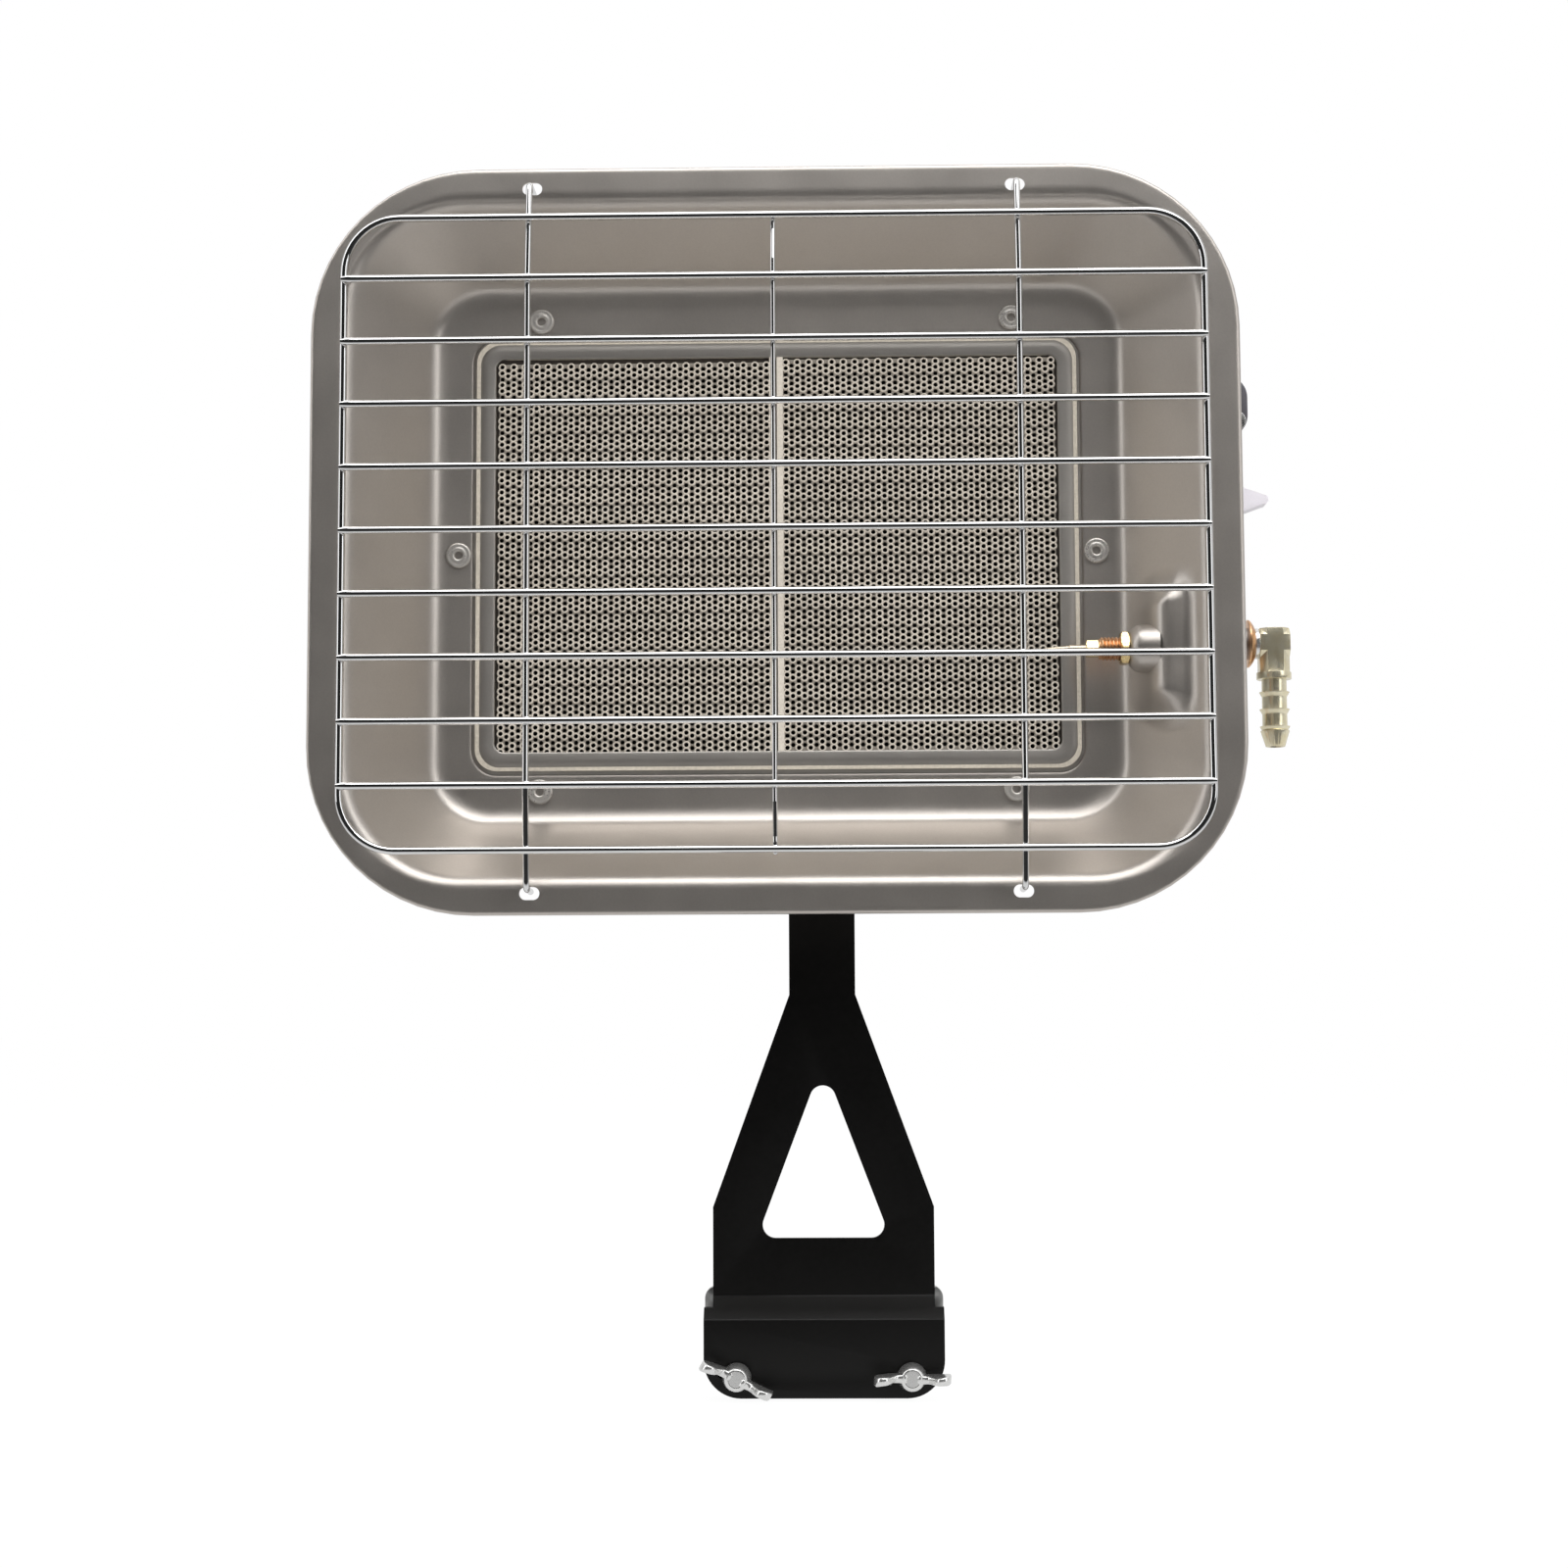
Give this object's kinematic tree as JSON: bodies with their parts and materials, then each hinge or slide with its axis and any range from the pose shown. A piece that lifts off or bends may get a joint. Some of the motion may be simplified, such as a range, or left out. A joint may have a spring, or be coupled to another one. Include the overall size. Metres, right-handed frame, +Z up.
{
  "type": "portable propane heater",
  "caption": "Infrared gas heater head with a wire guard over ceramic plaques, on a tilting steel bracket that clamps to a cylinder collar.",
  "frame": {"origin": "middle of the front jaw's rear face, where the cylinder's collar is gripped", "axes": "+X to the right seen from the front, +Y back and out of the front jaw's gripping face, +Z up"},
  "size_m": [0.3105, 0.1023, 0.3849],
  "materials": {
    "black_paint": "satin black paint on pressed steel",
    "zinc_plate": "bright zinc plating",
    "galvanised": "light galvanised sheet",
    "satin_steel": "satin warm grey pressed sheet",
    "fibre": "ceramic fibre",
    "burner_ceramic": "matt cream honeycomb ceramic",
    "chrome_wire": "bright chromed wire",
    "copper": "bare copper",
    "brass": "machined brass",
    "dark_plate": "dark grey sheet",
    "die_cast": "die-cast body",
    "yellow_zinc": "yellow passivated zinc with a faint rainbow",
    "light_plastic": "pale lilac grey moulding",
    "red_plastic": "red moulding"
  },
  "bodies": {
    "bracket": {"mounting_bracket": "black_paint", "tilt_bolt": "zinc_plate", "tilt_washer": "zinc_plate"},
    "jaw": {"rear_jaw": "galvanised", "clamp_bolts": "zinc_plate"},
    "nut_left": {"clamp_nut_left": "zinc_plate"},
    "nut_right": {"clamp_nut_right": "zinc_plate"},
    "tilt_nut": {"tilt_wing_nut": "zinc_plate"},
    "knob": {"control_knob": "light_plastic", "spindle": "brass"},
    "button": {"safety_button": "red_plastic"},
    "head": {"reflector_pan": "satin_steel", "burner_frame": "satin_steel", "plaque_gasket": "fibre", "plaque_left": "burner_ceramic", "plaque_right": "burner_ceramic", "burner_box": "satin_steel", "distributor_screen": "satin_steel", "mixing_tube": "satin_steel", "burner_rivets": "satin_steel", "guard_frame": "chrome_wire", "guard_rods": "chrome_wire", "guard_legs": "chrome_wire", "guard_stay": "chrome_wire", "thermocouple": "copper", "thermocouple_nut_front": "brass", "thermocouple_nut_rear": "brass", "thermocouple_lead": "copper", "lead_nut": "brass", "valve_plate": "dark_plate", "lug_screw": "zinc_plate", "valve_body": "die_cast", "injector_jet": "brass", "inlet_washer": "copper", "inlet_ring": "zinc_plate", "inlet_elbow": "yellow_zinc", "spindle_nut": "brass", "button_spring": "zinc_plate", "head_bracket": "black_paint", "head_screws": "zinc_plate"}
  },
  "joints": [
    {"name": "head_tilt", "type": "hinge", "parent": "bracket", "child": "head", "pos_m": [-0.0107, 0.02, 0.157], "axis": [-1, 0, 0], "range_deg": [-15, 40]},
    {"name": "nut_left_spin", "type": "hinge", "parent": "bracket", "child": "nut_left", "pos_m": [-0.0278, -0.0028, -0.0094], "axis": [0, -1, 0], "range_deg": [0, 2701]},
    {"name": "nut_right_spin", "type": "hinge", "parent": "bracket", "child": "nut_right", "pos_m": [0.0278, -0.0028, -0.0094], "axis": [0, -1, 0], "range_deg": [0, 2701]},
    {"name": "jaw_slide", "type": "slide", "parent": "bracket", "child": "jaw", "axis": [0, 1, 0], "range_m": [0, 0.006]},
    {"name": "tilt_nut_spin", "type": "hinge", "parent": "bracket", "child": "tilt_nut", "pos_m": [-0.0107, 0.02, 0.157], "axis": [-1, 0, 0], "range_deg": [0, 360]},
    {"name": "knob_turn", "type": "hinge", "parent": "head", "child": "knob", "pos_m": [0.1195, 0.0115, 0.276], "axis": [0, 1, 0], "range_deg": [0, 90]},
    {"name": "button_push", "type": "slide", "parent": "head", "child": "button", "axis": [0, -1, 0], "range_m": [0, 0.004], "stiffness_N_per_m": 1500, "springref_m": -0.002, "deforming": ["button_spring"]}
  ],
  "couplings": [
    {"joint": "nut_left_spin", "follows": "jaw_slide", "rad_per_m": 7854},
    {"joint": "nut_right_spin", "follows": "jaw_slide", "rad_per_m": 7854}
  ]
}
